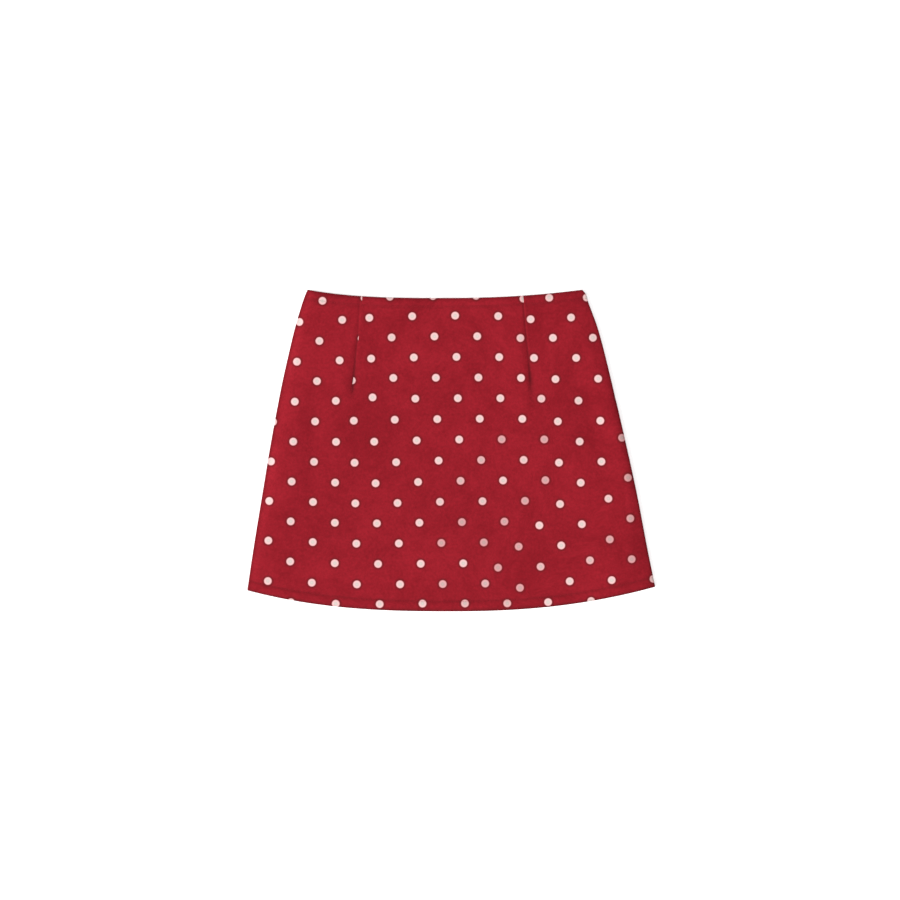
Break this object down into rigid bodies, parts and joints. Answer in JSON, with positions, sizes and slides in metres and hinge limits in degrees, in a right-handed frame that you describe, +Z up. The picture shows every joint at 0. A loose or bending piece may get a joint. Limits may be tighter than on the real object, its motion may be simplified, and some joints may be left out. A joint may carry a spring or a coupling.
{
  "type": "a-line skirt laid flat",
  "caption": "Short a-line skirt of red polka-dot cloth lying flat, front up, with waist darts, turned waist edge and curved turned-up hem.",
  "frame": {"origin": "on the surface that the skirt lies on, under the middle of its width and length", "axes": "+X towards the right side edge as seen from above, +Y towards the waist, +Z up, out of the front panel"},
  "size_m": [0.5214, 0.4112, 0.0056],
  "materials": {
    "front_cloth": "matt woven cloth, red with small cream dots in staggered rows",
    "back_cloth": "matt woven cloth, red with small cream dots in staggered rows"
  },
  "bodies": {
    "root": {"front_panel": "front_cloth", "back_panel": "back_cloth"}
  },
  "joints": []
}
